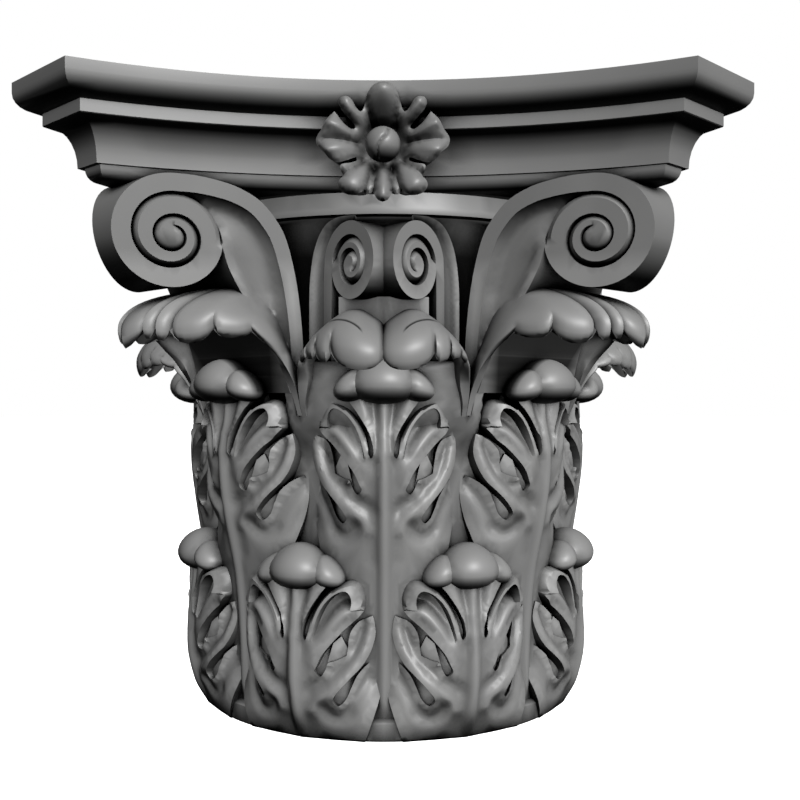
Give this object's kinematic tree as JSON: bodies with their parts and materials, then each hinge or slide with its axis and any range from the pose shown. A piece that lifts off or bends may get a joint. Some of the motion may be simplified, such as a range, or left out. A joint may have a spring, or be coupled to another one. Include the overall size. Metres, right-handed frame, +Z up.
{
  "type": "corinthian capital",
  "caption": "Corinthian column capital carved from one block: acanthus leaves round a bell, scrolls under the corners and a hollow-sided abacus with a flower on each side.",
  "frame": {"origin": "centre of the lower bed, on the column's axis", "axes": "+Z up along the column's axis, -Y towards the front face, +X to the right of it"},
  "size_m": [0.576, 0.576, 0.528],
  "materials": {
    "stone": "rubbed stone"
  },
  "bodies": {
    "root": {"capital": "stone"}
  },
  "joints": []
}
